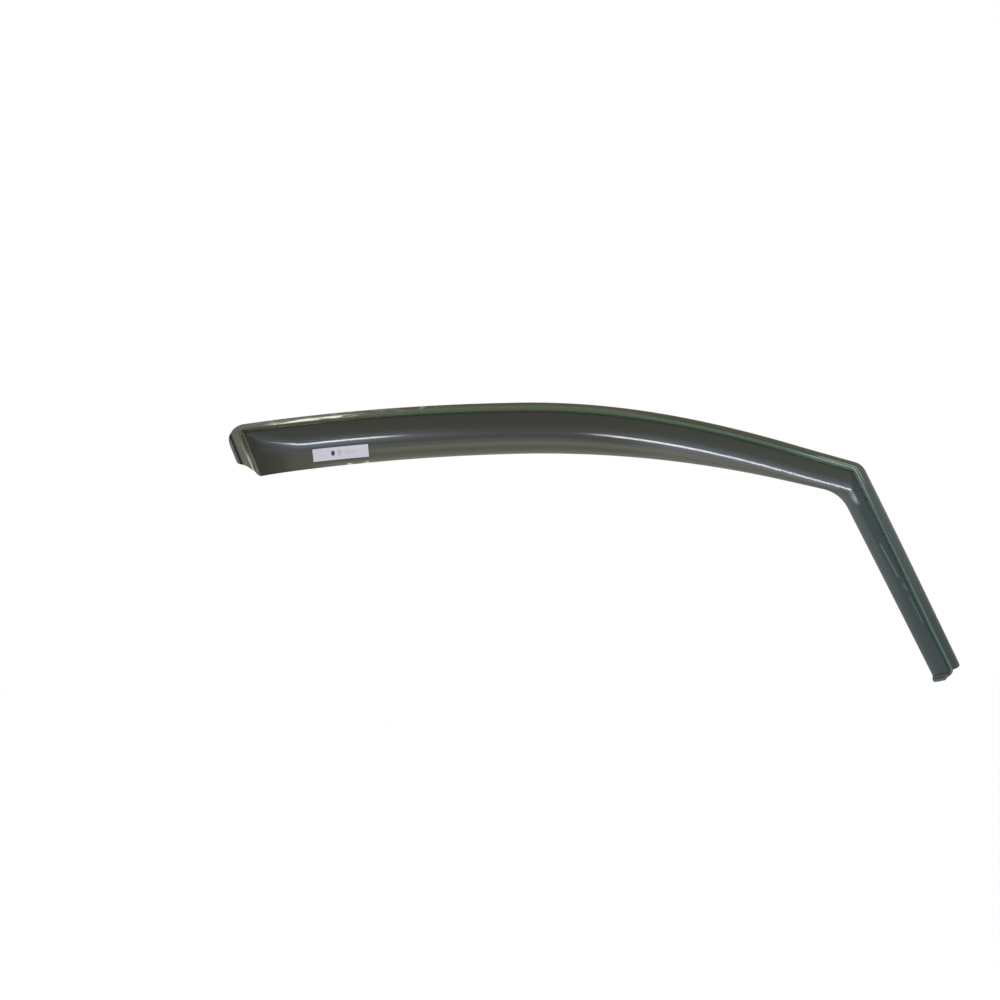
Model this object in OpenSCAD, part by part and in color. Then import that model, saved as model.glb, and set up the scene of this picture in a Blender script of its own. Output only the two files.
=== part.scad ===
// Rain deflector for the window of a right-hand front door.
// One formed acrylic sheet: a flange that slides into the window channel, a step up from
// it, and a blade that stands off the glass. The rear end turns inboard in a short lip,
// the front arm ends in a foot tab, and a label is stuck on the blade.
//
// The sheet is laid out on the side glass in u (forward) and v (up) as straight rulings,
// each from the free edge to the flange edge. A place on it is given by the station along
// the free edge and the depth in from the flange edge. Heights are measured outward from
// the middle of the flange, and the layout is then wrapped onto the curved glass.
// Frame: X forward, Y inboard, Z up, origin on the flange edge where the free edge is level.

/* [Sheet] */
// Thickness of the acrylic sheet
sheet_t = 3; // [2:0.25:3.5]
// Chamfer on every cut edge
edge_chamfer = 0.5; // [0.2:0.1:0.7]

/* [Free edge] */
// Climb of the free edge at the rear end, in degrees
rear_climb = 8.2; // [7:0.2:12]
// Length of the free edge from the rear crease to the widest part of the window
rear_len = 289; // [220:1:380]
// Turn of the rear length towards level, in degrees
rear_turn = 6.7; // [3:0.1:7]
// Length of the free edge from there to the straight before the corner
front_len = 310; // [220:5:380]
// Turn of the front length downwards, in degrees
front_turn = 14.1; // [9:0.1:18]
// Straight length of the free edge before the corner
straight_len = 46; // [20:1:90]
// Radius of the free edge round the corner
bend_r = 41.3; // [35:0.1:70]
// Turn of the corner, in degrees
bend_turn = 49.7; // [35:0.1:65]
// Length of the free edge down the arm
arm_len = 216.5; // [140:0.5:300]

/* [Widths, free edge to flange edge] */
// Width at the rear end
rear_w = 62.5; // [52:0.5:70]
// Width over the middle of the window
middle_w = 59.9; // [52:0.1:70]
// Width where the roof's length meets the corner
corner_w = 39.3; // [35:0.1:46]
// Width at the top of the arm
arm_w = 39.3; // [35:0.1:46]
// Width at the foot of the arm
foot_w = 33.8; // [31:0.1:38]
// Radius of the flange edge round the corner
corner_r = 18; // [8:1:30]

/* [Flange and step] */
// Width of the roof channel's flange at the rear
roof_flange_w = 5.3; // [4:0.1:9]
// Width of the roof channel's flange at the corner
corner_flange_w = 6.6; // [4:0.1:9]
// Width of the flange down the pillar channel
pillar_flange_w = 9.5; // [7:0.5:11]
// Height of the step from the flange up to the blade
step_h = 4.5; // [3:0.25:4.5]
// Distance over which the step rises
step_run = 6; // [6:0.25:7]

/* [Blade] */
// Slope of the upper face of the blade, in degrees
upper_slope = 23; // [15:1:28]
// Slope of the upper face at the top of the arm, in degrees
arm_slope = 41; // [30:1:46]
// Lean of the lower face back towards the glass, in degrees
lower_lean = 2; // [0:0.5:5]
// Depth of the ridge below the flange edge along the roof
ridge_depth = 34; // [28:0.5:37]
// Depth of the ridge at the top of the arm
arm_ridge_depth = 25; // [20:0.5:28]
// Depth of the ridge at the foot of the arm
foot_ridge_depth = 16; // [14:0.5:20]
// Rounding of the ridge, as the height that it takes off a sharp one, times four
ridge_soft = 4.4; // [1:0.2:6]
// The same rounding where the hip face meets the blade
hip_soft = 5.6; // [1:0.2:8]

/* [Rear end] */
// Lean of the rear crease from square to the free edge, in degrees
rear_lean = 14.5; // [0:0.5:20]
// Slope of the hip face that closes the blade at the rear, in degrees
hip_slope = 13; // [7:0.5:18]
// Height that the hip face gains at once beside the crease
hip_kick = 2; // [0:0.1:3]
// Slope on which it gains that height, in degrees
kick_slope = 36; // [20:1:45]
// Width of the flat flange strip behind the rear step
rear_flange_w = 9.5; // [3:0.5:12]
// Radius of the fold where the strip turns inboard, at the middle of the sheet
fold_r = 3; // [2:0.5:4]
// Turn of the lip, in degrees
lip_turn = 60; // [30:5:80]
// Length of the lip beyond its fold
lip_len = 6; // [3:0.5:9]
// Radius of the top corner of the rear end
rear_corner_r = 17; // [6:0.5:20]
// Distance behind the crease at which the bottom starts to be cut away
tip_back = 1.2; // [0:0.1:3]
// Length over which that tip is rounded, to either side of its corner
tip_soft = 2; // [0.5:0.1:4]
// Angle at which the bottom is cut away just behind the crease, in degrees
step_cut = 57; // [45:1:72]
// Length of that cut before it gives way to the next one
cut_change = 11; // [2:0.5:14]
// Angle at which the bottom of the strip and lip is cut away, in degrees
strip_cut = 46; // [30:1:52]

/* [Foot] */
// Lean of the foot crease from square to the free edge, in degrees
foot_lean = 17; // [0:1:20]
// Slope of the face that closes the blade at the foot, in degrees
foot_slope = 28; // [20:1:40]
// Length of the flat tab beyond the foot step
tab_len = 3; // [2:0.5:7]
// Distance before the foot crease at which the flange starts to round off
flange_cut = 6.8; // [5:0.1:12]
// Angle of the chamfer on the outer corner of the tab, in degrees
tab_chamfer = 46; // [30:1:55]
// Size of the chamfer on the inner corner of the tab
tab_corner = 1.8; // [1:0.2:2.6]

/* [Side glass] */
// Radius of the glass from sill to roof
glass_r = 1400; // [1000:50:2500]
// Radius of the glass from front to rear
plan_r = 6000; // [4000:250:9000]

/* [Label] */
// Length of the label
label_len = 63; // [40:1:80]
// Height of the label
label_h = 14; // [8:0.5:16]
// Thickness of the label
label_t = 0.2; // [0.1:0.05:0.3]
// Distance of the label in front of the rear crease
label_from_crease = 61; // [55:1:150]
// Distance of the label below the ridge
label_below_ridge = 6.6; // [5:0.2:9]
// Adhesive left between the label and the blade
label_gap = 0.1; // [0.05:0.05:0.2]

/* [Hidden] */
// Small distance over which slopes are measured
nudge = 0.02;
// Share of the step at which the face beyond it starts to rise, and how softly it starts
rise_from = 0.15 * step_run;
rise_soft = 5;
// Length over which the rulings turn from the crease's lean to square
lean_len = 70;
// Rounding where the steps of two sides meet in a corner, and where the faces beyond them do
step_corner = 5;
corner_soft = 2;
// More than any distance across the sheet, for an edge that is not in reach
far_off = 1000;
// Part of a half turn that the front taper of the width follows
taper_turn = 150;

corner_at = rear_len + front_len + straight_len;
bend_len = bend_r * bend_turn * PI / 180;
arm_at = corner_at + bend_len;
foot_at = arm_at + arm_len;
legs = [
    [rear_len, rear_turn],
    [front_len, front_turn],
    [straight_len, 0],
    [bend_len, bend_turn],
    [arm_len, 0],
];
level_at = rear_len + (rear_climb - rear_turn) / front_turn * front_len;
fold_at = step_run + rear_flange_w;
fold_len = fold_r * lip_turn * PI / 180;
rear_reach = fold_at + fold_len + lip_len;
foot_reach = step_run + tab_len;

function smooth(x) = let (c = max(0, min(1, x))) c * c * (3 - 2 * c);
function mix(a, b, x) = a + (b - a) * x;
function heading(a) = [cos(a), sin(a)];
function across(a) = [-sin(a), cos(a)];
function unit(p) = p / norm(p);

// A rise that starts from nothing over the soft length and then follows one slope
function rise(x, slope) =
    x <= 0 ? 0 : tan(slope) * (x < rise_soft ? x * x / (2 * rise_soft) : x - rise_soft / 2);

// Nothing at first and then x itself, with the turn between them rounded
function ease(x, soft) = x < -soft ? 0 : x < soft ? pow(x + soft, 2) / (4 * soft) : x;

// The smaller of two values, with the change from one to the other rounded
function soft_min(a, b, soft) = let (near = max(soft - abs(a - b), 0)) min(a, b) - near * near / (4 * soft);
function soft_rise(a, b, soft) = a <= 0 || b <= 0 ? 0 : soft_min(a, b, soft_min(soft, a + b, soft));

// Chord of an arc that starts on heading a and turns clockwise
function chord(len, turn, a) =
    (abs(turn) < 0.001 ? len : len * sin(turn / 2) / (turn / 2 * PI / 180)) * heading(a - turn / 2);

// Place and heading at a station, walking the legs of the free edge
function walk(s, i = 0, at = [0, 0], a = rear_climb) =
    let (len = legs[i][0], turn = legs[i][1])
    s <= len || i == len(legs) - 1
        ? [at + chord(s, turn * s / len, a), a - turn * s / len]
        : walk(s - len, i + 1, at + chord(len, turn, a), a - turn);

function lean(s) =
    rear_lean * (1 - smooth(s / lean_len)) - foot_lean * smooth((s - foot_at + lean_len) / lean_len);

// Width square to the free edge
function width(s) =
    s < rear_len ? mix(rear_w, middle_w, s / rear_len)
    : s > arm_at ? mix(arm_w, foot_w, (s - arm_at) / arm_len)
    : mix(middle_w, corner_w,
        (1 - cos(taper_turn * (s - rear_len) / (arm_at - rear_len))) / (1 - cos(taper_turn)));

// Round the bend: how far off square a ruling meets the roof's and the pillar's flange edge,
// and the distance along it from the centre of the bend to each, where both taper in
// towards the free edge
function off_square(s) =
    let (off = ((s - corner_at) / bend_len - 0.5) * bend_turn)
    [off + bend_turn / 2 - front_taper, off - bend_turn / 2 - arm_taper];
function to_edges(s) =
    let (off = off_square(s))
    [
        (bend_r + width(corner_at)) * cos(front_taper) / cos(off[0]),
        (bend_r + arm_w) * cos(arm_taper) / cos(off[1])
    ];

// Length of the ruling at a station, from the free edge to the flange edge
function ruling(s) =
    s > corner_at && s < arm_at
        ? let (to = to_edges(s)) soft_min(to[0], to[1], corner_ease) - bend_r
        : width(max(0, min(foot_at, s))) / cos(lean(s));

// Distance in from the roof's flange edge and from the pillar's, at a station and a depth
function from_edges(s, d) =
    s <= corner_at ? [d, far_off]
    : s >= arm_at ? [far_off, d]
    : let (off = off_square(s), at = to_edges(s) + (d - ruling(s) - bend_r) * [1, 1])
      [at[0] * cos(off[0]) / cos(front_taper), at[1] * cos(off[1]) / cos(arm_taper)];

// Depth at which the given distances in from both flange edges are passed
function depth_at(s, in_roof, in_arm) =
    s <= corner_at ? in_roof
    : s >= arm_at ? in_arm
    : let (off = off_square(s), short = (ruling(s) + bend_r) * [1, 1] - to_edges(s))
      -soft_min(
          -in_roof * cos(front_taper) / cos(off[0]) - short[0],
          -in_arm * cos(arm_taper) / cos(off[1]) - short[1],
          corner_soft
      );

// Distance behind the rear crease and drop inboard, round the fold of the lip
function fold(e) =
    e < fold_at ? [e, 0]
    : let (
        turn = min(lip_turn, (e - fold_at) / fold_r * 180 / PI),
        rest = e - fold_at - turn * PI / 180 * fold_r
    )
      [fold_at + fold_r * sin(turn) + rest * cos(turn), -fold_r * (1 - cos(turn)) - rest * sin(turn)];

// Width of the roof channel's flange, and of the flange as it is met round the corner
function roof_flange(s) = mix(roof_flange_w, corner_flange_w, max(0, min(1, s / corner_at)));
function flange_w(s) = depth_at(s, roof_flange(s), pillar_flange_w);

// Share of the way down the arm, and what the ridge and the upper face do on it
function down_arm(s) = max(0, min(1, (s - arm_at) / arm_len));
function arm_ridge(s) = mix(arm_ridge_depth, foot_ridge_depth, down_arm(s));
function arm_upper(s, x) = rise(x, mix(arm_slope, upper_slope, down_arm(s)));

// Depth of the ridge, which turns the corner in a mitre, and its height above the step
function ridge_at(s) = depth_at(s, ridge_depth, arm_ridge(s));
function crest(s) =
    mix(
        rise(ridge_depth - roof_flange(s) - rise_from, upper_slope),
        arm_upper(s, arm_ridge(s) - pillar_flange_w - rise_from),
        smooth(2 * (s - corner_at) / bend_len - 1)
    );

// Height of the hip face at a distance in front of the foot of the rear step
function hip(back) =
    let (x = back - rise_from)
    soft_rise(rise(x, kick_slope), hip_kick + x * tan(hip_slope), ridge_soft);

// Height of the middle of the sheet above the middle of the flange
function height(s, d) =
    let (
        in = from_edges(s, d) - [roof_flange(s), pillar_flange_w],
        in_rear = s + step_run,
        in_foot = foot_at + step_run - s,
        in_top = soft_min(in[0], in[1], step_corner),
        in_all = soft_min(soft_min(in_top, in_rear, step_corner), in_foot, step_corner),
        step = step_h * (1 - cos(180 * max(0, min(1, in_all / step_run)))) / 2,
        upper = soft_min(rise(in[0] - rise_from, upper_slope), arm_upper(s, in[1] - rise_from), corner_soft),
        lower = crest(s) - tan(lower_lean) * (d - ridge_at(s)),
        toe = rise(in_foot - rise_from, foot_slope),
        blade = soft_rise(soft_rise(upper, lower, ridge_soft), hip(in_rear), hip_soft)
    )
    step + soft_rise(blade, toe, ridge_soft);

// Place on the glass, from the layout and the height
function wrap(p, h) =
    let (
        tilt = (p[1] - middle_v) / glass_r * 180 / PI,
        y = glass_r - (glass_r + h) * cos(tilt),
        swing = p[0] / plan_r * 180 / PI
    )
    [(plan_r - y) * sin(swing), plan_r - (plan_r - y) * cos(swing), middle_v + (glass_r + h) * sin(tilt)];

front_taper = atan(width(corner_at - 1) - width(corner_at));
arm_taper = atan((arm_w - foot_w) / arm_len);
corner_ease = 4 * corner_r * (1 / cos(bend_turn / 2) - 1);
foot_end = walk(foot_at);
level = walk(level_at)[0] + [0, width(level_at)];
middle_v = (foot_end[0] - level)[1] / 2;
origin = wrap([0, 0], 0);
rear_a = rear_climb + rear_lean;
foot_a = foot_end[1] - foot_lean;

// Middle of the sheet at a station and a depth
function sheet(s, d) =
    let (
        on_edge = walk(max(0, min(foot_at, s))),
        a = on_edge[1] + lean(s),
        back = s < 0 ? fold(-s) : [0, 0],
        past = max(0, s - foot_at),
        base = on_edge[0] - level - back[0] * heading(rear_a) + past * heading(foot_a)
    )
    wrap(base + (ruling(s) - d) * across(a), height(s, d) + back[1]) - origin;

// Outward normal of the sheet, and a point of a face that lies off its middle
function normal(s, d) =
    unit(cross(sheet(s, d + nudge) - sheet(s, d - nudge), sheet(s + nudge, d) - sheet(s - nudge, d)));
function skin(s, d, off) = sheet(s, d) + off * normal(s, d);

// Trim of the flange edge: the rounded rear corner, and the foot's corner and chamfer
function trim_flange(s) =
    let (
        round_from = fold(rear_reach)[0] - rear_corner_r,
        in_round = s < 0 ? max(0, fold(-s)[0] - round_from) : 0,
        cut = s - foot_at + flange_cut,
        cut_round = 0.75 * flange_cut,
        cut_depth = pillar_flange_w + edge_chamfer
    )
    s < 0 ? rear_corner_r - sqrt(max(0, pow(rear_corner_r, 2) - in_round * in_round))
    : cut < 0 ? 0
    : cut < cut_round ? cut_depth * (1 - sqrt(1 - pow(cut / cut_round, 2)))
    : cut_depth + (cut - cut_round) * tan(tab_chamfer);

// Trim of the free edge: the two cuts at the rear, and the inner corner of the tab
function trim_free(s) =
    let (back = (s < 0 ? fold(-s)[0] : -s) - tip_back)
    ease(min(back, cut_change), tip_soft) * tan(step_cut) + max(0, back - cut_change) * tan(strip_cut)
    + max(0, s - (foot_at + foot_reach - tab_corner));

function spread(a, b, n) = [for (i = [0:n - 1]) mix(a, b, i / n)];
function crowd(x) = sign(x) * pow(abs(x), 1.8);

hip_len = 60;
foot_near = foot_at - 2.2 * flange_cut;
stations = concat(
    [-rear_reach],
    spread(edge_chamfer - rear_reach, -fold_at - fold_len, 3),
    spread(-fold_at - fold_len, -fold_at, 4),
    spread(-fold_at, -step_run, 2),
    spread(-step_run, 0, 5),
    spread(0, hip_len, 10),
    spread(hip_len, corner_at, 34),
    [for (i = [-7:6]) mix(corner_at, arm_at, (1 + crowd(i / 7)) / 2)],
    spread(arm_at, foot_near, 10),
    spread(foot_near, foot_at - 0.25 * flange_cut, 10),
    spread(foot_at - 0.25 * flange_cut, foot_at + step_run, 6),
    spread(foot_at + step_run, foot_at + foot_reach - edge_chamfer, 2),
    [foot_at + foot_reach - edge_chamfer, foot_at + foot_reach]
);

// Depths of one face at a station, with lines along the flange and the step
function depths(s) =
    let (
        full = ruling(s),
        flange = flange_w(s),
        first = trim_flange(s) + edge_chamfer,
        last = full - trim_free(s) - edge_chamfer
    )
    [for (d = concat(
        spread(0, flange, 2),
        spread(flange, flange + step_run, 6),
        spread(flange + step_run, full, 14),
        [full]
    )) mix(first, last, d / full)];

// Closed outline of the sheet at a station: outer face, free edge, inner face, flange edge
function section(s, half) =
    let (
        row = depths(s),
        rim = half - edge_chamfer,
        free = row[len(row) - 1] + edge_chamfer,
        top = row[0] - edge_chamfer
    )
    concat(
        [skin(s, top, rim)],
        [for (d = row) skin(s, d, half)],
        [skin(s, free, rim), skin(s, free, -rim)],
        [for (i = [len(row) - 1:-1:0]) skin(s, row[i], -half)],
        [skin(s, top, -rim)]
    );

// A closed solid through sections, each of which runs down one face and back up the other
module loft(rings) {
    count = len(rings[0]);
    last = len(rings) - 1;
    polyhedron(
        points = [for (ring = rings) each ring],
        faces = concat(
            [for (r = [0:last - 1], i = [0:count - 1])
                let (a = r * count + i, b = r * count + (i + 1) % count)
                each [[a, b + count, b], [a, a + count, b + count]]],
            [for (k = [0:count / 2 - 2]) let (c = count - 1 - k) each [[k, k + 1, c - 1], [k, c - 1, c]]],
            [for (k = [0:count / 2 - 2]) let (a = last * count + k, c = last * count + count - 1 - k)
                each [[a, c - 1, a + 1], [a, c, c - 1]]]
        )
    );
}

module shield() {
    last = len(stations) - 1;
    color([0.25, 0.27, 0.23])
        loft([for (i = [0:last])
            section(stations[i], sheet_t / 2 - (i == 0 || i == last ? edge_chamfer : 0))]);
}

module label() {
    under = sheet_t / 2 + label_gap;
    top = ridge_depth + label_below_ridge;
    places = [for (i = [0:16]) label_from_crease + label_len * i / 16];
    rows = [for (i = [0:6]) top + label_h * i / 6];
    color([0.86, 0.86, 0.88])
        loft([for (s = places) concat(
            [for (d = rows) skin(s, d, under + label_t)],
            [for (i = [len(rows) - 1:-1:0]) skin(s, rows[i], under)]
        )]);
}

shield();
label();
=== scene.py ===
from math import atan, cos, pi, radians, sin, sqrt, tan

import bmesh
import bpy
from mathutils import Matrix, Vector


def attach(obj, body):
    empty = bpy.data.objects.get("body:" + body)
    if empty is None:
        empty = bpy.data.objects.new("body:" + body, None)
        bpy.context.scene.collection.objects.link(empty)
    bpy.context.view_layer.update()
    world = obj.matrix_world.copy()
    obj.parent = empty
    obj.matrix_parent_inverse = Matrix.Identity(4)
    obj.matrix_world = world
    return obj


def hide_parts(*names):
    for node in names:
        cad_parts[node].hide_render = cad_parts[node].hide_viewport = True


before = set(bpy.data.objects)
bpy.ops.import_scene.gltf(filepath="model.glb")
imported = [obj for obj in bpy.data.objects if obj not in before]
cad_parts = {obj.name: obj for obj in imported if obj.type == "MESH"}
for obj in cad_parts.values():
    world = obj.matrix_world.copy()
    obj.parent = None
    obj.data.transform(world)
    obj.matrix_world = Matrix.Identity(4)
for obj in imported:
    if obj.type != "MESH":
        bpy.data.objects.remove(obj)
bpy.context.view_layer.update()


# Camera
# It looks square at the outer face from far off, as a product is photographed, with the
# window's top edge level in the upper half of the picture.
view_across = 1.145
view_centre = Vector((-0.0492, 0.0, -0.1114))
view_distance = 5.0
lens = bpy.data.cameras.new("long_lens")
lens.lens = lens.sensor_width * view_distance / view_across
lens.clip_end = 100.0
camera = bpy.data.objects.new("camera", lens)
camera.matrix_world = (
    Matrix.Translation(view_centre + Vector((0.0, -view_distance, 0.0)))
    @ Matrix.Rotation(radians(90), 4, "X")
)
bpy.context.scene.collection.objects.link(camera)
bpy.context.scene.camera = camera


# Shield
# One sheet of smoke-tinted acrylic, 3 mm thick, cut flat, heated and pressed over a former:
# a flange for the window channel, a step up from it, and a blade that stands off the glass.
# It is held only by its flange, which the channel grips. Its cut edges are eased.
sheet_t = 0.003
edge_round = 0.0005

rear_climb = radians(8.2)
rear_len, rear_turn = 0.289, radians(6.7)
front_len, front_turn = 0.310, radians(14.1)
straight_len = 0.046
bend_r, bend_turn = 0.0413, radians(49.7)
arm_len = 0.2165

rear_w, middle_w, corner_w, arm_w, foot_w = 0.0625, 0.0599, 0.0393, 0.0393, 0.0338
corner_r = 0.018
roof_flange_w, corner_flange_w, pillar_flange_w = 0.0053, 0.0066, 0.0095
step_h, step_run = 0.0045, 0.006

upper_slope, arm_slope, lower_lean = radians(23), radians(41), radians(2)
ridge_depth, arm_ridge_depth, foot_ridge_depth = 0.034, 0.025, 0.016
ridge_soft, hip_soft, rise_soft, step_corner = 0.0044, 0.0056, 0.005, 0.005

rear_lean, lean_len = radians(14.5), 0.070
hip_slope, hip_kick, kick_slope, hip_len = radians(13), 0.0020, radians(36), 0.060
rear_flange_w, fold_r, lip_turn, lip_len = 0.0095, 0.003, radians(60), 0.006
rear_corner_r = 0.017
tip_back, tip_soft = 0.0012, 0.002
step_cut, cut_change, strip_cut = radians(57), 0.011, radians(46)

foot_lean, foot_slope = radians(17), radians(28)
tab_len, flange_cut, tab_chamfer, tab_corner = 0.003, 0.0068, radians(46), 0.0018
tab_step_in, tab_round = 0.0005, 0.75 * flange_cut

glass_r, plan_r = 1.4, 6.0
taper_turn = radians(150)
corner_soft, far_off = 0.002, 1.0
nudge = 0.00002

corner_at = rear_len + front_len + straight_len
bend_len = bend_r * bend_turn
arm_at = corner_at + bend_len
foot_at = arm_at + arm_len
legs = [
    (rear_len, rear_turn),
    (front_len, front_turn),
    (straight_len, 0),
    (bend_len, bend_turn),
    (arm_len, 0),
]
level_at = rear_len + (rear_climb - rear_turn) / front_turn * front_len
rise_from = 0.15 * step_run
fold_at = step_run + rear_flange_w
rear_reach = fold_at + fold_r * lip_turn + lip_len
foot_reach = step_run + tab_len


def clamp(x, low=0.0, high=1.0):
    return max(low, min(high, x))


def smooth(x):
    x = clamp(x)
    return x * x * (3 - 2 * x)


def mix(a, b, x):
    return a + (b - a) * x


def heading(a):
    return Vector((cos(a), sin(a)))


def across(a):
    return Vector((-sin(a), cos(a)))


def rise(x, slope):
    """A rise that starts from nothing over the soft length and then follows one slope."""
    return 0 if x <= 0 else tan(slope) * (x * x / (2 * rise_soft) if x < rise_soft else x - rise_soft / 2)


def ease(x, soft):
    """Nothing at first and then x itself, with the turn between them rounded."""
    return 0 if x < -soft else (x + soft) ** 2 / (4 * soft) if x < soft else x


def soft_min(a, b, soft):
    """The smaller of two, with the change from one to the other rounded."""
    near = max(soft - abs(a - b), 0)
    return min(a, b) - near * near / (4 * soft)


def soft_rise(a, b, soft):
    """The smaller of two rises, rounded, and nothing where either is still nothing."""
    return 0 if a <= 0 or b <= 0 else soft_min(a, b, soft_min(soft, a + b, soft))


def walk(s):
    """Place and heading at a station along the free edge, from the rear crease to the foot."""
    at, a = Vector((0.0, 0.0)), rear_climb
    for i, (length, turn) in enumerate(legs):
        here = s if s <= length or i == len(legs) - 1 else length
        part = turn * here / length
        chord = here if abs(part) < 1e-7 else here * sin(part / 2) / (part / 2)
        at, a = at + chord * heading(a - part / 2), a - part
        if here == s:
            return at, a
        s -= length


def lean(s):
    return rear_lean * (1 - smooth(s / lean_len)) - foot_lean * smooth((s - foot_at + lean_len) / lean_len)


def width(s):
    """Width square to the free edge."""
    if s < rear_len:
        return mix(rear_w, middle_w, s / rear_len)
    if s > arm_at:
        return mix(arm_w, foot_w, (s - arm_at) / arm_len)
    share = (1 - cos(taper_turn * (s - rear_len) / (arm_at - rear_len))) / (1 - cos(taper_turn))
    return mix(middle_w, corner_w, share)


front_taper = atan((width(corner_at - 0.001) - width(corner_at)) / 0.001)
arm_taper = atan((arm_w - foot_w) / arm_len)
corner_ease = 4 * corner_r * (1 / cos(bend_turn / 2) - 1)


def fan(s):
    """Round the bend: each flange edge's distance from the bend's centre along the straight
    line across, and how far off square that line meets it."""
    off = ((s - corner_at) / bend_len - 0.5) * bend_turn
    off_roof, off_arm = off + bend_turn / 2 - front_taper, off - bend_turn / 2 - arm_taper
    to_roof = (bend_r + width(corner_at)) * cos(front_taper) / cos(off_roof)
    to_arm = (bend_r + arm_w) * cos(arm_taper) / cos(off_arm)
    return to_roof, to_arm, off_roof, off_arm


def ruling(s):
    """Length of the straight line from the free edge to the flange edge."""
    if not corner_at < s < arm_at:
        return width(clamp(s, 0, foot_at)) / cos(lean(s))
    to_roof, to_arm, _, _ = fan(s)
    return soft_min(to_roof, to_arm, corner_ease) - bend_r


def from_edges(s, d):
    """Distance in from the roof's flange edge and from the pillar's."""
    if s <= corner_at:
        return d, far_off
    if s >= arm_at:
        return far_off, d
    to_roof, to_arm, off_roof, off_arm = fan(s)
    at = d - ruling(s) - bend_r
    in_roof = (at + to_roof) * cos(off_roof) / cos(front_taper)
    return in_roof, (at + to_arm) * cos(off_arm) / cos(arm_taper)


def depth_at(s, in_roof, in_arm):
    """Depth at which the given distances in from both flange edges are passed."""
    if s <= corner_at:
        return in_roof
    if s >= arm_at:
        return in_arm
    to_roof, to_arm, off_roof, off_arm = fan(s)
    reach = ruling(s) + bend_r
    on_roof = in_roof * cos(front_taper) / cos(off_roof) - to_roof + reach
    on_arm = in_arm * cos(arm_taper) / cos(off_arm) - to_arm + reach
    return -soft_min(-on_roof, -on_arm, corner_soft)


def fold(e):
    """Distance behind the rear crease and drop inboard, round the fold of the lip."""
    if e < fold_at:
        return e, 0.0
    turn = min(lip_turn, (e - fold_at) / fold_r)
    rest = e - fold_at - turn * fold_r
    return fold_at + fold_r * sin(turn) + rest * cos(turn), -fold_r * (1 - cos(turn)) - rest * sin(turn)


def roof_flange(s):
    """Width of the roof's flange, which grows from the rear to the corner."""
    return mix(roof_flange_w, corner_flange_w, clamp(s / corner_at))


def flange_w(s):
    return depth_at(s, roof_flange(s), pillar_flange_w)


def down_arm(s):
    return clamp((s - arm_at) / arm_len)


def ridge_at(s):
    """Depth of the ridge, which turns the corner in a mitre."""
    return depth_at(s, ridge_depth, mix(arm_ridge_depth, foot_ridge_depth, down_arm(s)))


def crest(s):
    """Height of the ridge above the top of the step."""
    slope = mix(arm_slope, upper_slope, down_arm(s))
    on_roof = rise(ridge_depth - roof_flange(s) - rise_from, upper_slope)
    on_arm = rise(mix(arm_ridge_depth, foot_ridge_depth, down_arm(s)) - pillar_flange_w - rise_from, slope)
    return mix(on_roof, on_arm, smooth(2 * (s - corner_at) / bend_len - 1))


def hip_at(back):
    """Height of the hip face at a distance in front of the rear step's start."""
    x = back - rise_from
    return soft_rise(rise(x, kick_slope), hip_kick + x * tan(hip_slope), ridge_soft)


def height(s, d):
    """Height of the middle of the sheet above the middle of its flange."""
    from_roof, from_arm = from_edges(s, d)
    in_roof, in_arm = from_roof - roof_flange(s), from_arm - pillar_flange_w
    in_rear, in_foot = s + step_run, foot_at + step_run - s
    in_top = soft_min(in_roof, in_arm, step_corner)
    in_all = soft_min(soft_min(in_top, in_rear, step_corner), in_foot, step_corner)
    step = step_h * (1 - cos(pi * clamp(in_all / step_run))) / 2
    on_arm = rise(in_arm - rise_from, mix(arm_slope, upper_slope, down_arm(s)))
    upper = soft_min(rise(in_roof - rise_from, upper_slope), on_arm, corner_soft)
    lower = crest(s) - tan(lower_lean) * (d - ridge_at(s))
    toe = rise(in_foot - rise_from, foot_slope)
    blade = soft_rise(soft_rise(upper, lower, ridge_soft), hip_at(in_rear), hip_soft)
    return step + soft_rise(blade, toe, ridge_soft)


foot_end, foot_heading = walk(foot_at)
level = walk(level_at)[0] + Vector((0.0, width(level_at)))
middle_v = (foot_end - level)[1] / 2
rear_a, foot_a = rear_climb + rear_lean, foot_heading - foot_lean


def wrap(p, h):
    """Place on the curved side glass, from the flat layout and the height off the glass."""
    tilt, swing = (p[1] - middle_v) / glass_r, p[0] / plan_r
    y = glass_r - (glass_r + h) * cos(tilt)
    up = middle_v + (glass_r + h) * sin(tilt)
    return Vector(((plan_r - y) * sin(swing), plan_r - (plan_r - y) * cos(swing), up))


flange_edge = wrap(Vector((0.0, 0.0)), 0.0)


def sheet(s, d):
    """Middle of the sheet at a station and a depth in from the flange edge."""
    on_edge, a = walk(clamp(s, 0, foot_at))
    a += lean(s)
    back, drop = fold(-s) if s < 0 else (0.0, 0.0)
    base = on_edge - level - back * heading(rear_a) + max(0, s - foot_at) * heading(foot_a)
    return wrap(base + (ruling(s) - d) * across(a), height(s, d) + drop) - flange_edge


def skin(s, d, off):
    """Place of a face that lies off the middle of the sheet, outward where off is above zero."""
    down = sheet(s, d + nudge) - sheet(s, d - nudge)
    along = sheet(s + nudge, d) - sheet(s - nudge, d)
    return sheet(s, d) + off * down.cross(along).normalized()


def trim_flange(s):
    """Cut-back of the flange edge: the rounded rear corner, and the foot's corner and chamfer."""
    if s < 0:
        in_round = max(0, fold(-s)[0] - fold(rear_reach)[0] + rear_corner_r)
        return rear_corner_r - sqrt(max(0, rear_corner_r ** 2 - in_round ** 2))
    cut, cut_depth = s - foot_at + flange_cut, pillar_flange_w + tab_step_in
    if cut < 0:
        return 0
    if cut < tab_round:
        return cut_depth * (1 - sqrt(1 - (cut / tab_round) ** 2))
    return cut_depth + (cut - tab_round) * tan(tab_chamfer)


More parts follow.
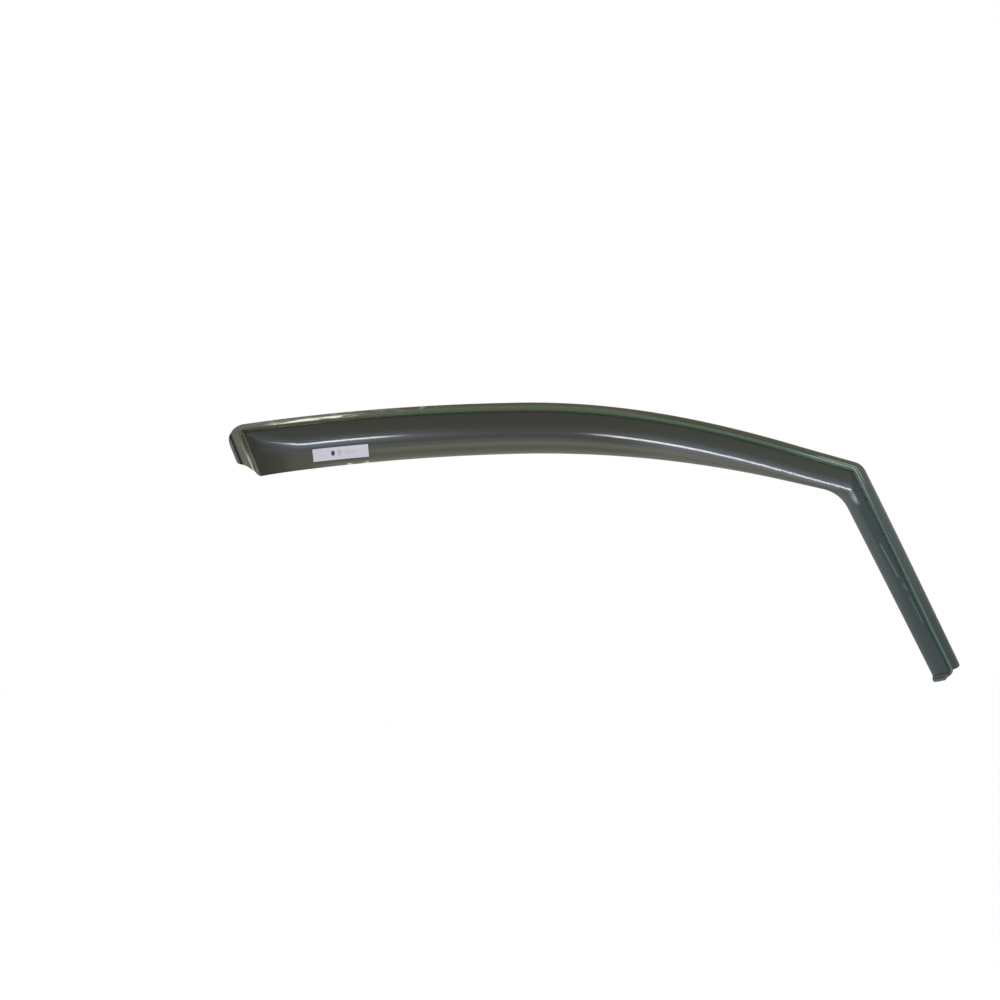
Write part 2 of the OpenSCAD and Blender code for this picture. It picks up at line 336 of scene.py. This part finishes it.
def trim_free(s):
    """Cut-back of the free edge: the two cuts at the rear, and the inner corner of the tab."""
    back = (fold(-s)[0] if s < 0 else -s) - tip_back
    cut = ease(min(back, cut_change), tip_soft) * tan(step_cut) + max(0, back - cut_change) * tan(strip_cut)
    return cut + max(0, s - (foot_at + foot_reach - tab_corner))


def spread(a, b, n):
    return [mix(a, b, i / n) for i in range(n)]


def shield_stations():
    """Stations from the lip to the foot tab, close together where the sheet turns."""
    support = 2 * edge_round
    lip_run = rear_reach - fold_at
    return (
        [-rear_reach]
        + [-rear_reach + support + (lip_run - support) * (i / 14) ** 1.6 for i in range(14)]
        + spread(-fold_at, -step_run, 4)
        + spread(-step_run, 0, 12)
        + spread(0, hip_len, 34)
        + spread(hip_len, corner_at, 170)
        + spread(corner_at, arm_at, 36)
        + spread(arm_at, foot_at - 2 * flange_cut, 110)
        + spread(foot_at - 2 * flange_cut, foot_at - flange_cut, 6)
        + [foot_at - flange_cut + tab_round * sin(pi / 2 * i / 12) for i in range(12)]
        + spread(foot_at - (flange_cut - tab_round), foot_at + step_run, 14)
        + spread(foot_at + step_run, foot_at + foot_reach - support, 2)
        + [foot_at + foot_reach - support, foot_at + foot_reach]
    )


def shield_depths(s):
    """Depths down one station, close together on the step and over the ridge."""
    full, flange, ridge = ruling(s), flange_w(s), ridge_at(s)
    blade_from, ridge_half = flange + step_run, 0.010
    ridge_from = max(blade_from + 0.001, ridge - ridge_half)
    ridge_to = min(ridge + ridge_half, full - 0.004)
    places = (
        spread(0, flange, 5) + spread(flange, blade_from, 30) + spread(blade_from, ridge_from, 10)
        + spread(ridge_from, ridge_to, 22) + spread(ridge_to, full - 2 * edge_round, 9)
        + [full - 2 * edge_round, full]
    )
    first, last = trim_flange(s), full - trim_free(s)
    return [mix(first, last, d / full) for d in places]


def band(s, d):
    """Depth counted in bands: the flange to 1, the step to 2, the upper face to 3, the lower to 4."""
    flange, ridge, full = flange_w(s), ridge_at(s), ruling(s)
    if d < flange:
        return d / flange
    if d < flange + step_run:
        return 1 + (d - flange) / step_run
    if d < ridge:
        return 2 + (d - flange - step_run) / max(ridge - flange - step_run, 0.0005)
    return 3 + (d - ridge) / (full - ridge)


def make_shield():
    """The outer face is a grid laid on the sheet, and the wall and inner face are drawn from it."""
    bm = bmesh.new()
    lay = bm.verts.layers.float_vector.new("lay")
    bands = bm.verts.layers.float.new("band")
    stations = shield_stations()
    columns = [shield_depths(s) for s in stations]
    across_n, down_n = len(stations) - 1, len(columns[0]) - 1
    grid = bmesh.ops.create_grid(bm, x_segments=across_n, y_segments=down_n, size=0.5)
    for v in grid["verts"]:
        i, j = round((v.co.x + 0.5) * across_n), round((v.co.y + 0.5) * down_n)
        s, d = stations[i], columns[i][j]
        v[lay], v[bands] = (s, d, 1.0), band(s, d)
        v.co = skin(s, d, sheet_t / 2)
    drawn = bmesh.ops.extrude_face_region(bm, geom=bm.faces[:])
    for v in drawn["geom"]:
        if isinstance(v, bmesh.types.BMVert):
            s, d, _ = v[lay]
            v[lay] = (s, d, -1.0)
            v.co = skin(s, d, -sheet_t / 2)
    walls = [f for f in bm.faces if len({v[lay][2] for v in f.verts}) == 2]
    rims = {e for f in walls for e in f.edges if e.verts[0][lay][2] == e.verts[1][lay][2]}
    bmesh.ops.bevel(
        bm, geom=list(rims), offset=edge_round, offset_type="OFFSET", segments=3,
        profile=0.5, affect="EDGES", material=-1, clamp_overlap=True,
    )
    bmesh.ops.recalc_face_normals(bm, faces=bm.faces)
    for f in bm.faces:
        f.smooth = True
    mesh = bpy.data.meshes.new("acrylic_sheet")
    bm.to_mesh(mesh)
    bm.free()
    piece = bpy.data.objects.new("acrylic_sheet", mesh)
    bpy.context.scene.collection.objects.link(piece)
    return piece


def add(tree, kind, inputs=(), **settings):
    """A node with its settings, and its inputs set to values or linked from sockets."""
    node = tree.nodes.new(kind)
    for name, value in settings.items():
        setattr(node, name, value)
    for key, value in dict(inputs).items():
        if isinstance(value, bpy.types.NodeSocket):
            tree.links.new(value, node.inputs[key])
        else:
            node.inputs[key].default_value = value
    return node


def ramp(tree, fac, stops):
    """A colour ramp with stops given as place and colour."""
    node = add(tree, "ShaderNodeValToRGB", {"Fac": fac})
    marks = node.color_ramp.elements
    while len(marks) < len(stops):
        marks.new(0.5)
    for mark, (place, colour) in zip(marks, stops):
        mark.position = place
        mark.color = (*colour, 1.0)
    return node.outputs["Color"]


def calc(tree, operation, a, b=0.0):
    return add(tree, "ShaderNodeMath", {0: a, 1: b}, operation=operation).outputs[0]


def times(tree, a, b):
    return calc(tree, "MULTIPLY", a, b)


def grow(tree, value, start, end):
    """A mask that goes smoothly from 0 at one value to 1 at another."""
    node = add(
        tree, "ShaderNodeMapRange", {"Value": value, "From Min": start, "From Max": end},
        interpolation_type="SMOOTHSTEP",
    )
    return node.outputs["Result"]


def between(tree, value, low, high, soft):
    """A mask that is 1 from one value to another and fades at both ends."""
    rising = grow(tree, value, low - soft, low + soft)
    return times(tree, rising, grow(tree, value, high + soft, high - soft))


def layer(tree, mask, under, over):
    """Lay one colour over another where the mask is 1."""
    under, over = ((*colour, 1.0) if type(colour) is tuple else colour for colour in (under, over))
    return add(tree, "ShaderNodeMix", {0: mask, 6: under, 7: over}, data_type="RGBA").outputs[2]


def streaks(tree, place, along, down, seed, detail=2.0):
    """Noise drawn out along the sheet: lengths in metres along it and down it."""
    scale, shift = (1 / along, 1 / down, 0.0), (seed, seed, 0.0)
    scaled = add(tree, "ShaderNodeMapping", {"Vector": place, "Scale": scale, "Location": shift})
    noise = add(tree, "ShaderNodeTexNoise", {"Vector": scaled.outputs[0], "Scale": 1.0, "Detail": detail})
    return noise.outputs["Fac"]


def section_colour_and_light(tree, station, bands):
    """Colour across the sheet, from the flange edge to the free edge: at the rear, along the
    roof, before the corner and down the arm. Each ramp is the smoke colour with painted light laid in."""
    share = calc(tree, "DIVIDE", bands, 4.0)
    # Painted light: the green stops on the step are a painted glow, the dark stop just below it painted
    # shade, the lighter stops on the lower face painted reflections, and the pale last stop a painted glow
    # at the cut edge.
    roof = ramp(tree, share, [
        (0.000, (0.110, 0.100, 0.085)),
        (0.080, (0.073, 0.064, 0.045)),
        (0.175, (0.108, 0.112, 0.070)),
        (0.280, (0.084, 0.124, 0.066)),
        (0.365, (0.097, 0.145, 0.090)),
        (0.420, (0.075, 0.112, 0.068)),
        (0.465, (0.038, 0.054, 0.036)),
        (0.520, (0.050, 0.048, 0.038)),
        (0.850, (0.056, 0.059, 0.047)),
        (0.880, (0.100, 0.098, 0.076)),
        (0.930, (0.060, 0.056, 0.034)),
        (0.970, (0.098, 0.094, 0.066)),
        (1.000, (0.190, 0.180, 0.150)),
    ])
    # The bluish stop below the ridge is a painted sheen.
    rear = ramp(tree, share, [
        (0.000, (0.140, 0.136, 0.112)),
        (0.120, (0.120, 0.118, 0.092)),
        (0.300, (0.114, 0.116, 0.077)),
        (0.450, (0.054, 0.057, 0.042)),
        (0.500, (0.046, 0.048, 0.038)),
        (0.700, (0.052, 0.058, 0.050)),
        (0.780, (0.062, 0.070, 0.074)),
        (0.880, (0.048, 0.051, 0.040)),
        (0.950, (0.056, 0.058, 0.042)),
        (1.000, (0.150, 0.148, 0.120)),
    ])
    front = ramp(tree, share, [
        (0.000, (0.110, 0.105, 0.090)),
        (0.050, (0.072, 0.068, 0.048)),
        (0.165, (0.038, 0.056, 0.027)),
        (0.210, (0.050, 0.082, 0.044)),
        (0.260, (0.110, 0.165, 0.110)),
        (0.365, (0.104, 0.150, 0.110)),
        (0.465, (0.036, 0.052, 0.036)),
        (0.530, (0.052, 0.058, 0.042)),
        (0.740, (0.056, 0.060, 0.052)),
        (0.800, (0.112, 0.120, 0.120)),
        (0.890, (0.112, 0.114, 0.096)),
        (0.930, (0.084, 0.086, 0.064)),
        (1.000, (0.140, 0.140, 0.124)),
    ])
    # On the arm, the pale flange edge is a painted sheen, and the bright teal line on the step a painted
    # glow between painted dark bands.
    arm = ramp(tree, share, [
        (0.000, (0.180, 0.188, 0.184)),
        (0.040, (0.092, 0.102, 0.098)),
        (0.100, (0.054, 0.070, 0.066)),
        (0.250, (0.044, 0.072, 0.066)),
        (0.300, (0.080, 0.125, 0.113)),
        (0.345, (0.190, 0.280, 0.254)),
        (0.410, (0.060, 0.105, 0.095)),
        (0.450, (0.026, 0.052, 0.050)),
        (0.520, (0.030, 0.050, 0.049)),
        (0.600, (0.050, 0.070, 0.068)),
        (0.860, (0.055, 0.073, 0.074)),
        (0.940, (0.070, 0.086, 0.087)),
        (1.000, (0.125, 0.140, 0.136)),
    ])
    colour_and_light = layer(tree, grow(tree, station, 0.080, 0.150), rear, roof)
    colour_and_light = layer(tree, grow(tree, station, 0.390, 0.480), colour_and_light, front)
    return layer(tree, grow(tree, station, corner_at, arm_at), colour_and_light, arm)


def hip_painted_shade(tree, colour_and_light, station, depth, bands):
    """Painted shade: the hip face is painted darker than the blade, where the blade's sheen does not reach,
    and so is the sheet beside the crease.
    """
    hip_line_slope = 0.22
    below = calc(tree, "SUBTRACT", depth, times(tree, station, hip_line_slope))
    hip = times(tree, grow(tree, below, 0.032, 0.035), grow(tree, station, 0.085, 0.050))
    colour_and_light = layer(tree, hip, colour_and_light, (0.050, 0.052, 0.037))
    beside = times(tree, grow(tree, station, 0.022, 0.002), grow(tree, bands, 1.3, 1.8))
    return layer(tree, beside, colour_and_light, (0.034, 0.037, 0.027))


def flange_glints_and_nicks(tree, colour_and_light, lay, station, bands):
    """Painted reflections: the rear flange is painted with pale patches of light where it is wavy, and
    painted highlight lines run along the flange's outer edge. The free edge below the label is nicked.
    """
    glints = grow(tree, streaks(tree, lay, 0.024, 0.0022, 3.1, 4.0), 0.38, 0.50)
    zone_mask = times(tree, between(tree, bands, 0.55, 1.12, 0.14), between(tree, station, 0.030, 0.106, 0.014))
    colour_and_light = layer(tree, times(tree, glints, zone_mask), colour_and_light, (1.00, 0.97, 0.80))
    glints = grow(tree, streaks(tree, lay, 0.009, 0.0018, 7.7), 0.50, 0.62)
    zone_mask = times(tree, grow(tree, bands, 0.75, 0.50), between(tree, station, 0.006, 0.200, 0.010))
    colour_and_light = layer(tree, times(tree, glints, zone_mask), colour_and_light, (0.26, 0.25, 0.20))
    nicks = grow(tree, streaks(tree, lay, 0.007, 0.020, 5.2), 0.50, 0.58)
    zone_mask = times(tree, grow(tree, bands, 3.92, 3.96), between(tree, station, 0.096, 0.126, 0.004))
    return layer(tree, times(tree, nicks, zone_mask), colour_and_light, (0.60, 0.56, 0.43))


def corner_painted_highlights(tree, colour_and_light, station, bands):
    """Painted highlights: near the corner, bright lines of light and a green glow beside them are painted
    along the step.
    """
    for band_from, band_to, band_soft, start, end, end_soft, colour in [
        (1.15, 1.75, 0.10, corner_at - 0.025, arm_at, 0.030, (0.120, 0.180, 0.155)),
        (1.00, 1.22, 0.05, corner_at - 0.035, arm_at, 0.022, (0.46, 0.60, 0.53)),
        (0.66, 0.78, 0.05, corner_at - 0.012, corner_at + 0.024, 0.008, (0.32, 0.40, 0.35)),
    ]:
        across_step = between(tree, bands, band_from, band_to, band_soft)
        highlit = times(tree, across_step, between(tree, station, start, end, end_soft))
        colour_and_light = layer(tree, highlit, colour_and_light, colour)
    return colour_and_light


def strip_colour_and_light(tree, colour_and_light, lay, station, depth):
    """The strip behind the crease, from the lip to the step, with fine pale streaks across it. Its pale
    lines at the lip and along its edge are painted highlights, and its green line a painted glow.
    """
    behind = calc(tree, "DIVIDE", calc(tree, "ADD", station, rear_reach), rear_reach)
    # The pale first stop, at the lip, is a painted highlight.
    strip = ramp(tree, behind, [
        (0.00, (0.150, 0.150, 0.125)),
        (0.06, (0.080, 0.078, 0.060)),
        (0.14, (0.034, 0.032, 0.022)),
        (0.33, (0.030, 0.030, 0.021)),
        (0.40, (0.100, 0.098, 0.070)),
        (0.55, (0.115, 0.113, 0.082)),
        (0.68, (0.105, 0.104, 0.072)),
        (0.76, (0.052, 0.054, 0.036)),
        (0.88, (0.036, 0.040, 0.026)),
        (1.00, (0.026, 0.029, 0.020)),
    ])
    # Painted glow: a green line by the crease.
    green = times(tree, between(tree, behind, 0.84, 0.93, 0.04), grow(tree, depth, 0.024, 0.036))
    strip = layer(tree, green, strip, (0.090, 0.135, 0.090))
    marks = grow(tree, streaks(tree, lay, 0.0013, 0.030, 2.4), 0.52, 0.70)
    strip = layer(tree, times(tree, marks, grow(tree, behind, 0.36, 0.42)), strip, (0.30, 0.30, 0.24))
    # Painted highlight: a pale line along the strip.
    edge = times(tree, between(tree, behind, 0.66, 0.74, 0.02), grow(tree, depth, 0.030, 0.040))
    strip = layer(tree, edge, strip, (0.42, 0.42, 0.35))
    mitre_slope = 0.30
    mitre = calc(tree, "SUBTRACT", depth, times(tree, station, mitre_slope))
    on_strip = times(tree, grow(tree, mitre, 0.0062, 0.0080), grow(tree, station, 0.0005, -0.0005))
    return layer(tree, on_strip, colour_and_light, strip)


def foot_shade_and_tab(tree, colour_and_light, station, bands):
    """The step down to the foot tab is painted dark as painted shade, and the flat tab beyond it is pale."""
    past = calc(tree, "SUBTRACT", station, foot_at)
    step_shade = times(tree, between(tree, past, 0.0005, 0.0045, 0.0012), grow(tree, bands, 1.4, 1.9))
    colour_and_light = layer(tree, step_shade, colour_and_light, (0.014, 0.022, 0.023))
    return layer(tree, grow(tree, past, 0.0048, 0.0058), colour_and_light, (0.120, 0.136, 0.136))


def arm_painted_highlights_and_lines(tree, colour_and_light, station, depth):
    """Painted highlights under the corner, where the ridge's line of light ends, and down the arm's ridge,
    and fine pale lines further down the arm. Each runs straight from one station and depth to another."""
    for start, start_depth, end, end_depth, half_width, strength in [
        # The first two rows are painted highlights, the last three fine pale lines.
        (0.6720, 0.0292, 0.6800, 0.0268, 0.0044, 0.50),
        (0.7350, 0.0237, 0.7775, 0.0213, 0.0004, 0.90),
        (0.8042, 0.0193, 0.8366, 0.0180, 0.0004, 0.45),
        (0.7868, 0.0187, 0.7961, 0.0179, 0.0004, 0.50),
        (0.7880, 0.0206, 0.7935, 0.0196, 0.0004, 0.40),
    ]:
        slant = (end_depth - start_depth) / (end - start)
        line = calc(tree, "ADD", times(tree, calc(tree, "SUBTRACT", station, start), slant), start_depth)
        off = calc(tree, "ABSOLUTE", calc(tree, "SUBTRACT", depth, line))
        ends = between(tree, station, start, end, 0.002 + half_width)
        mark = times(tree, grow(tree, off, half_width, 0.0001), ends)
        colour_and_light = layer(tree, times(tree, mark, strength), colour_and_light, (0.55, 0.58, 0.58))
    return colour_and_light


def smoke_acrylic_with_painted_light():
    """The colour is what the 3 mm sheet lets through, with painted light laid into it: a painted green glow
    in the step, a painted pale glow at the cut edges, and painted highlights, sheen and shade."""
    material = bpy.data.materials.new("smoke_acrylic_with_painted_light")
    material.use_nodes = True
    tree = material.node_tree
    shader = tree.nodes["Principled BSDF"]
    lay = add(tree, "ShaderNodeAttribute", attribute_name="lay").outputs["Vector"]
    parts = add(tree, "ShaderNodeSeparateXYZ", {0: lay})
    station, depth = parts.outputs["X"], parts.outputs["Y"]
    bands = add(tree, "ShaderNodeAttribute", attribute_name="band").outputs["Fac"]
    colour_and_light = section_colour_and_light(tree, station, bands)
    colour_and_light = hip_painted_shade(tree, colour_and_light, station, depth, bands)
    colour_and_light = flange_glints_and_nicks(tree, colour_and_light, lay, station, bands)
    colour_and_light = corner_painted_highlights(tree, colour_and_light, station, bands)
    colour_and_light = strip_colour_and_light(tree, colour_and_light, lay, station, depth)
    colour_and_light = foot_shade_and_tab(tree, colour_and_light, station, bands)
    colour_and_light = arm_painted_highlights_and_lines(tree, colour_and_light, station, depth)
    tree.links.new(colour_and_light, shader.inputs["Base Color"])
    shader.inputs["Roughness"].default_value = 0.08
    shader.inputs["IOR"].default_value = 1.49
    shader.inputs["Transmission Weight"].default_value = 0.9
    return material


shield = make_shield()
shield.data.materials.append(smoke_acrylic_with_painted_light())
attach(shield, "root")
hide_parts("shield")


# Label
# A printed paper sticker on the blade, laid by hand just below the ridge and held by its own
# glue. Its print is a plain dark spot and a few grey rules.
label_len, label_h, label_t = 0.063, 0.0140, 0.0002
label_from_crease, label_below_ridge, label_gap = 0.061, 0.0066, 0.0001


def make_label():
    bm = bmesh.new()
    spots = bm.verts.layers.float_vector.new("spot")
    under = sheet_t / 2 + label_gap
    top = ridge_depth + label_below_ridge
    grid = bmesh.ops.create_grid(bm, x_segments=32, y_segments=10, size=0.5)
    for v in grid["verts"]:
        along, down = v.co.x + 0.5, v.co.y + 0.5
        v[spots] = (along, down, 0.0)
        v.co = skin(label_from_crease + label_len * along, top + label_h * down, under + label_t)
    base = bmesh.ops.extrude_face_region(bm, geom=bm.faces[:])
    for v in [g for g in base["geom"] if isinstance(g, bmesh.types.BMVert)]:
        along, down, _ = v[spots]
        v.co = skin(label_from_crease + label_len * along, top + label_h * down, under)
    bmesh.ops.recalc_face_normals(bm, faces=bm.faces)
    mesh = bpy.data.meshes.new("paper_label")
    bm.to_mesh(mesh)
    bm.free()
    piece = bpy.data.objects.new("paper_label", mesh)
    bpy.context.scene.collection.objects.link(piece)
    return piece


def label_paper():
    material = bpy.data.materials.new("label_paper")
    material.use_nodes = True
    tree = material.node_tree
    shader = tree.nodes["Principled BSDF"]
    spot = add(tree, "ShaderNodeAttribute", attribute_name="spot").outputs["Vector"]
    spot = add(tree, "ShaderNodeSeparateXYZ", {0: spot})
    along, down = spot.outputs["X"], spot.outputs["Y"]
    fibre = streaks(tree, add(tree, "ShaderNodeTexCoord").outputs["Object"], 0.004, 1.0, 1.0)
    paper = layer(tree, fibre, (0.52, 0.51, 0.56), (0.57, 0.56, 0.60))
    for left, right, top, bottom, ink in [
        (0.44, 0.51, 0.26, 0.30, (0.26, 0.26, 0.30)),
        (0.44, 0.53, 0.38, 0.43, (0.22, 0.22, 0.26)),
        (0.44, 0.51, 0.51, 0.56, (0.24, 0.24, 0.28)),
        (0.44, 0.50, 0.64, 0.69, (0.28, 0.28, 0.32)),
        (0.56, 0.80, 0.38, 0.42, (0.34, 0.34, 0.38)),
        (0.56, 0.74, 0.56, 0.60, (0.42, 0.42, 0.46)),
    ]:
        rule = times(tree, between(tree, along, left, right, 0.004), between(tree, down, top, bottom, 0.012))
        paper = layer(tree, rule, paper, ink)
    spot_along, spot_down, half_along, half_down = 0.36, 0.46, 0.034, 0.21
    aside = times(tree, calc(tree, "SUBTRACT", along, spot_along), 1 / half_along)
    below = times(tree, calc(tree, "SUBTRACT", down, spot_down), 1 / half_down)
    off = calc(tree, "ADD", calc(tree, "POWER", aside, 2.0), calc(tree, "POWER", below, 2.0))
    paper = layer(tree, grow(tree, off, 1.15, 0.85), paper, (0.030, 0.030, 0.040))
    tree.links.new(paper, shader.inputs["Base Color"])
    shader.inputs["Roughness"].default_value = 0.55
    return material


label = make_label()
label.data.materials.append(label_paper())
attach(label, "root")
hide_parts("label")


# Studio
# A pale floor well below the part and a white surround that gets darker overhead. Two long
# soft lamps in front draw the lines of light along the ridge, a wide bluish panel lays the
# sheen beside them, and a soft lamp at the side lights the corner.
bpy.context.scene.view_settings.view_transform = "Standard"
floor_z, floor_half, floor_glow, glow_share = -0.75, 12.0, 1.045, 0.9
lamp_distance = 2.2


def dim_sides(tree, way, seen):
    """What gloss sees in a direction: less at both sides of the camera than in front of it."""
    parts = add(tree, "ShaderNodeSeparateXYZ", {0: way})
    to_side = calc(tree, "ABSOLUTE", parts.outputs["X"])
    to_camera = times(tree, parts.outputs["Y"], -1.0)
    dim = times(tree, grow(tree, to_side, 0.22, 0.42), grow(tree, to_camera, 0.0, 0.3))
    return layer(tree, dim, seen, (0.25, 0.25, 0.25))


def make_floor():
    bm = bmesh.new()
    bmesh.ops.create_grid(bm, x_segments=1, y_segments=1, size=floor_half)
    bmesh.ops.translate(bm, verts=bm.verts, vec=(0.0, 0.0, floor_z))
    mesh = bpy.data.meshes.new("floor")
    bm.to_mesh(mesh)
    bm.free()
    material = bpy.data.materials.new("pale_floor")
    material.use_nodes = True
    tree = material.node_tree
    tree.nodes.clear()
    paths = add(tree, "ShaderNodeLightPath")
    glossy_ray = paths.outputs["Is Glossy Ray"]
    seen = calc(tree, "MAXIMUM", paths.outputs["Is Camera Ray"], glossy_ray)
    seen = calc(tree, "MAXIMUM", seen, paths.outputs["Is Transmission Ray"])
    place = add(tree, "ShaderNodeTexCoord").outputs["Object"]
    way = add(tree, "ShaderNodeVectorMath", {0: place}, operation="NORMALIZE").outputs[0]
    white = (1.0, 1.0, 1.0)
    colour = layer(tree, glossy_ray, white, dim_sides(tree, way, white))
    cloth = add(tree, "ShaderNodeBsdfDiffuse", {"Color": (0.93, 0.93, 0.93, 1.0)})
    glow = add(tree, "ShaderNodeEmission", {"Color": colour, "Strength": floor_glow})
    share = times(tree, seen, glow_share)
    both = add(tree, "ShaderNodeMixShader", {0: share, 1: cloth.outputs[0], 2: glow.outputs[0]})
    add(tree, "ShaderNodeOutputMaterial", {"Surface": both.outputs[0]})
    mesh.materials.append(material)
    floor = bpy.data.objects.new("floor", mesh)
    bpy.context.scene.collection.objects.link(floor)


def light_room():
    """Whatever the camera sees past the part is white. Gloss and glass see the same room, with
    its ceiling and both sides of the camera dim."""
    world = bpy.data.worlds.new("studio")
    bpy.context.scene.world = world
    world.use_nodes = True
    tree = world.node_tree
    tree.nodes.clear()
    way = add(tree, "ShaderNodeTexCoord").outputs["Generated"]
    up = add(tree, "ShaderNodeSeparateXYZ", {0: way}).outputs["Z"]
    room = ramp(tree, up, [(0.12, (1.0, 1.0, 1.0)), (0.26, (0.35, 0.35, 0.35)), (0.70, (0.16, 0.16, 0.16))])
    room = dim_sides(tree, way, room)
    paths = add(tree, "ShaderNodeLightPath")
    shine = calc(tree, "MAXIMUM", paths.outputs["Is Glossy Ray"], paths.outputs["Is Transmission Ray"])
    soft = add(tree, "ShaderNodeBackground", {"Color": (1.0, 0.98, 0.95, 1.0), "Strength": 0.62})
    studio = add(tree, "ShaderNodeBackground", {"Color": room, "Strength": 1.0})
    white = add(tree, "ShaderNodeBackground", {"Color": (1.0, 1.0, 1.0, 1.0), "Strength": 1.0})
    both = add(tree, "ShaderNodeMixShader", {0: shine, 1: soft.outputs[0], 2: studio.outputs[0]})
    both = add(tree, "ShaderNodeMixShader", {0: paths.outputs["Is Camera Ray"], 1: both.outputs[0],
                                             2: white.outputs[0]})
    add(tree, "ShaderNodeOutputWorld", {"Surface": both.outputs[0]})


def hang_lamp(name, bearing, elevation, roll, size, colour, radiance, along=(), up=()):
    """A rectangular lamp that faces the part. Bearing is to the right of straight in front, and
    roll lifts its front end. Its strength may change along it, from the rear, and up it, by
    stops of place and share."""
    lamp = bpy.data.lights.new(name, "AREA")
    lamp.shape = "RECTANGLE"
    lamp.size, lamp.size_y = size
    lamp.color = colour
    lamp.energy = radiance * pi * size[0] * size[1]
    lamp.use_nodes = True
    tree = lamp.node_tree
    place = add(tree, "ShaderNodeNewGeometry").outputs["Parametric"]
    place = add(tree, "ShaderNodeSeparateXYZ", {0: place})
    strength = 1.0
    for axis, stops in (("X", along), ("Y", up)):
        if stops:
            share_here = ramp(tree, place.outputs[axis], [(at, (part, part, part)) for at, part in stops])
            strength = times(tree, share_here, strength)
    if along or up:
        tree.links.new(strength, tree.nodes["Emission"].inputs["Strength"])
    piece = bpy.data.objects.new(name, lamp)
    aim = Vector((sin(bearing) * cos(elevation), -cos(bearing) * cos(elevation), sin(elevation)))
    facing = aim.to_track_quat("Z", "Y").to_matrix().to_4x4()
    piece.matrix_world = (
        Matrix.Translation(view_centre + aim * lamp_distance) @ facing @ Matrix.Rotation(roll, 4, "Z")
    )
    bpy.context.scene.collection.objects.link(piece)


make_floor()
light_room()
hang_lamp("front_strip", radians(19.0), radians(28), radians(-12), (0.92, 0.17), (1.0, 1.0, 1.0), 19.0,
          along=[(0.05, 0.0), (0.15, 1.0), (0.40, 1.0), (0.55, 0.75), (1.0, 0.75)])
hang_lamp("rear_strip", radians(-18.5), radians(32), radians(14), (0.86, 0.15), (0.95, 0.97, 1.0), 20.0,
          along=[(0.0, 0.1), (0.20, 0.25), (0.36, 1.0), (0.75, 1.0), (0.80, 0.35), (0.84, 0.0)])
hang_lamp("sky_panel", radians(0), radians(38), 0.0, (2.9, 1.8), (0.60, 0.74, 1.0), 3.0,
          along=[(0.0, 0.2), (0.14, 0.4), (0.24, 1.0), (0.36, 1.0), (0.43, 0.35), (0.48, 0.12), (0.56, 0.12),
                 (0.62, 0.5), (0.68, 1.0)],
          up=[(0.0, 0.1), (0.15, 0.35), (0.32, 1.0), (0.50, 0.55), (0.75, 0.12), (1.0, 0.0)])
hang_lamp("corner_fill", radians(39), radians(14), 0.0, (0.62, 0.75), (0.85, 0.92, 1.0), 6.0,
          along=[(0.0, 0.0), (0.4, 1.0), (0.6, 1.0), (1.0, 0.0)], up=[(0.0, 0.0), (0.5, 1.0), (1.0, 0.0)])
